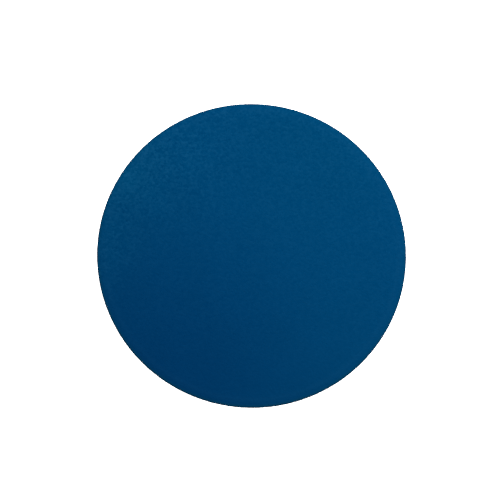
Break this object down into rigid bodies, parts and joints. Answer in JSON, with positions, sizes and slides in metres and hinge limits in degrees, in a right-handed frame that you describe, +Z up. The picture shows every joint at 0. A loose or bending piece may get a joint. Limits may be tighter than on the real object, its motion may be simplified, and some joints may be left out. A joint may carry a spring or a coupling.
{
  "type": "air stone disc",
  "caption": "Round porous stone air diffuser on a weighted plastic base, with suction cups, a swivelling hose elbow and a check valve underneath.",
  "frame": {"origin": "centre of the footprint, on the surface that the suction cups stand on", "axes": "+Z up out of the stone's face; the hose elbow's arm points along -Y at rest; +X to the right"},
  "size_m": [0.1016, 0.1016, 0.031],
  "materials": {
    "porous_stone": "matte",
    "bond_rubber": "matte",
    "housing_plastic": "satin",
    "ballast_steel": "satin",
    "fitting_plastic": "satin",
    "screw_steel": "satin",
    "cup_rubber": "gloss",
    "valve_rubber": "matte"
  },
  "bodies": {
    "housing": {"stone_disc": "porous_stone", "seal_ring": "bond_rubber", "air_tray": "housing_plastic", "base_shell": "housing_plastic", "ballast_ring": "ballast_steel", "valve_cage": "fitting_plastic", "shell_screw_front": "screw_steel", "shell_screw_right": "screw_steel", "shell_screw_back": "screw_steel", "shell_screw_left": "screw_steel", "suction_cup_front_right": "cup_rubber", "suction_cup_back_right": "cup_rubber", "suction_cup_back_left": "cup_rubber", "suction_cup_front_left": "cup_rubber"},
    "swivel": {"hose_elbow": "fitting_plastic", "elbow_o_ring": "bond_rubber", "elbow_clip": "screw_steel"},
    "poppet": {"valve_poppet": "valve_rubber"}
  },
  "joints": [
    {"name": "inlet_swivel", "type": "hinge", "parent": "housing", "child": "swivel", "pos_m": [0, 0, 0.0046], "axis": [0, 0, 1], "continuous": true},
    {"name": "valve_lift", "type": "slide", "parent": "housing", "child": "poppet", "axis": [0, 0, 1], "range_m": [0, 0.0015]}
  ]
}
